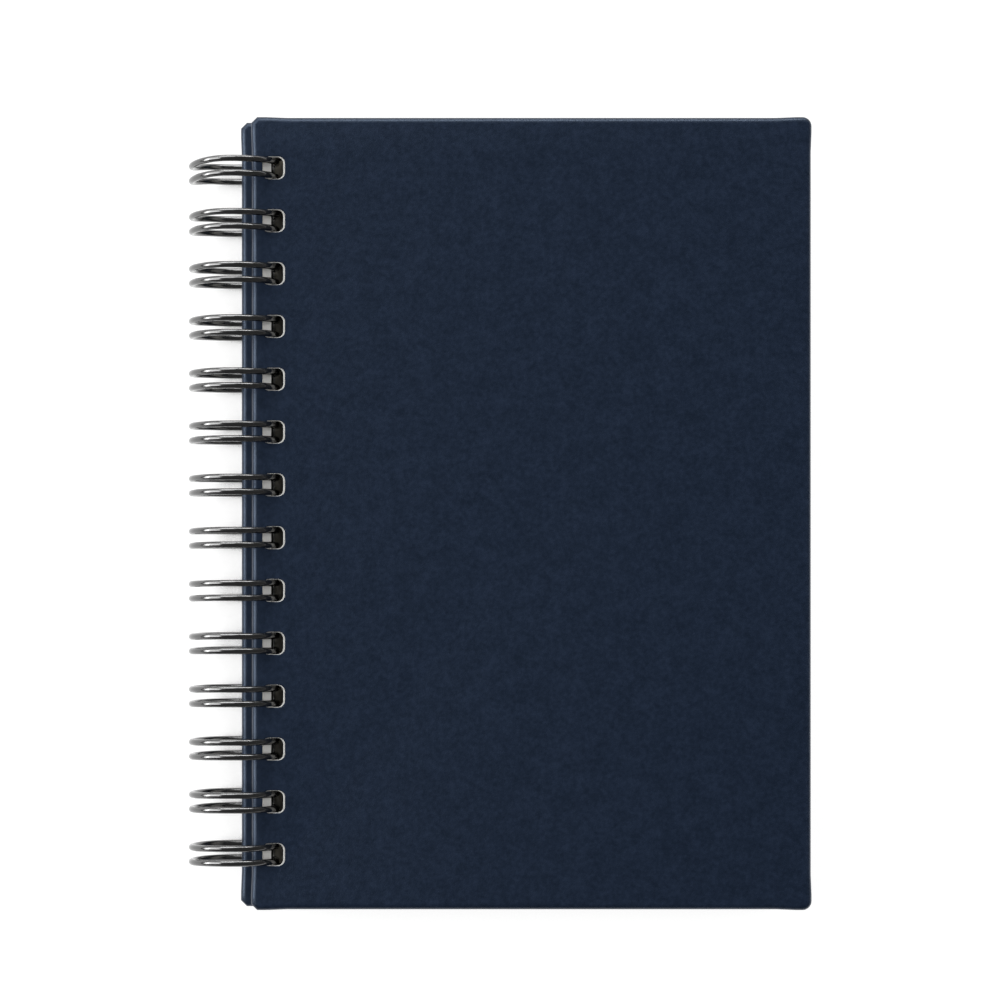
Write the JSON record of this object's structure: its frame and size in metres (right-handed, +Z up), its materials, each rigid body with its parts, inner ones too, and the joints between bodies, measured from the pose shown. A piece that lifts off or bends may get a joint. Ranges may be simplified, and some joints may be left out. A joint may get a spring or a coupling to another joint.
{
  "type": "spiral notebook",
  "caption": "Hardback notebook whose leatherette covers and block of sheets hang on a row of twin wire loops, so that both covers turn about the wire.",
  "frame": {"origin": "centre of the overall box on the surface that the closed notebook lies on, under the loops' lowest points", "axes": "+Y from the foot of the pages to the head, +X from the wire loops to the fore-edge, +Z up out of the front cover"},
  "size_m": [0.15, 0.1906, 0.022],
  "materials": {
    "leatherette": "fine-grained navy leatherette, soft satin",
    "board": "pale pressed board, bare at the punched holes",
    "lining": "plain matt endpaper",
    "paper": "plain writing sheets",
    "wire": "glossy black nickel plating on steel wire"
  },
  "bodies": {
    "block": {"page_block": "paper", "wire_binding": "wire"},
    "front_cover": {"front_cover_leatherette": "leatherette", "front_cover_board": "board", "front_cover_lining": "lining"},
    "back_cover": {"back_cover_leatherette": "leatherette", "back_cover_board": "board", "back_cover_lining": "lining"}
  },
  "joints": [
    {"name": "front_cover_hinge", "type": "hinge", "parent": "block", "child": "front_cover", "pos_m": [-0.064, 0, 0.011], "axis": [0, -1, 0], "range_deg": [0, 230]},
    {"name": "back_cover_hinge", "type": "hinge", "parent": "block", "child": "back_cover", "pos_m": [-0.064, 0, 0.011], "axis": [0, 1, 0], "range_deg": [0, 230]}
  ]
}
